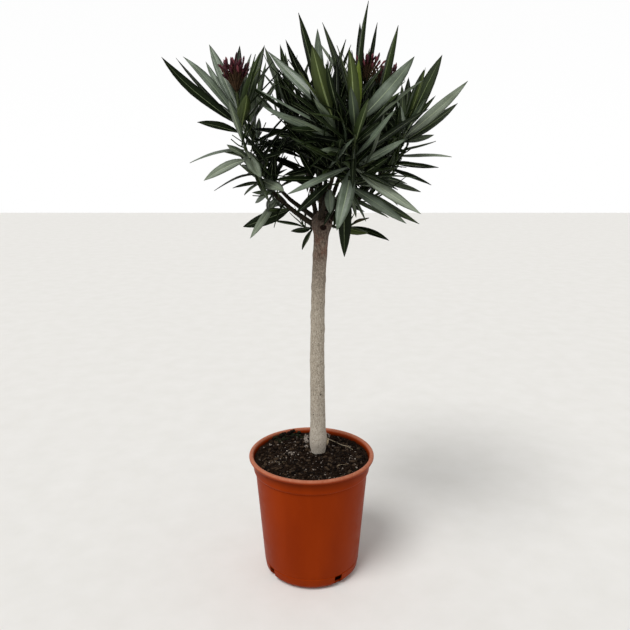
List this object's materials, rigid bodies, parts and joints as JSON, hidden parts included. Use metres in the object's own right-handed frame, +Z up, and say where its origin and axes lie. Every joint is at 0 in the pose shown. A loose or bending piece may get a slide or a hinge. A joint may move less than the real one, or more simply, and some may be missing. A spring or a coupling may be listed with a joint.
{
  "type": "potted oleander",
  "caption": "Potted oleander grown as a standard: a round nursery pot filled with soil, a bare woody stem, and a round crown of long narrow leaves with flower buds.",
  "frame": {"origin": "centre of the pot's flat underside, on the surface that it stands on", "axes": "+Z up along the stem, +X to the plant's right seen from its front, +Y to its back"},
  "size_m": [0.4205, 0.3709, 0.8791],
  "materials": {
    "pot": "satin",
    "soil": "matte",
    "bark": "matte",
    "foliage": "satin"
  },
  "bodies": {
    "root": {"pot": "pot", "soil": "soil", "trunk": "bark", "bough_left": "bark", "bough_front": "bark", "bough_front_left": "bark", "bough_right": "bark", "bough_middle": "bark", "bough_centre": "bark", "bough_right_back": "bark", "bough_left_back": "bark", "bough_back": "bark", "bough_back_left": "bark", "bough_back_right": "bark", "bough_low_left": "bark", "bough_low_right": "bark", "foliage_left": "foliage", "foliage_front": "foliage", "foliage_front_left": "foliage", "foliage_right": "foliage", "foliage_middle": "foliage", "foliage_centre": "foliage", "foliage_right_back": "foliage", "foliage_left_back": "foliage", "foliage_back": "foliage", "foliage_back_left": "foliage", "foliage_back_right": "foliage", "foliage_low_left": "foliage", "foliage_low_right": "foliage"}
  },
  "joints": []
}
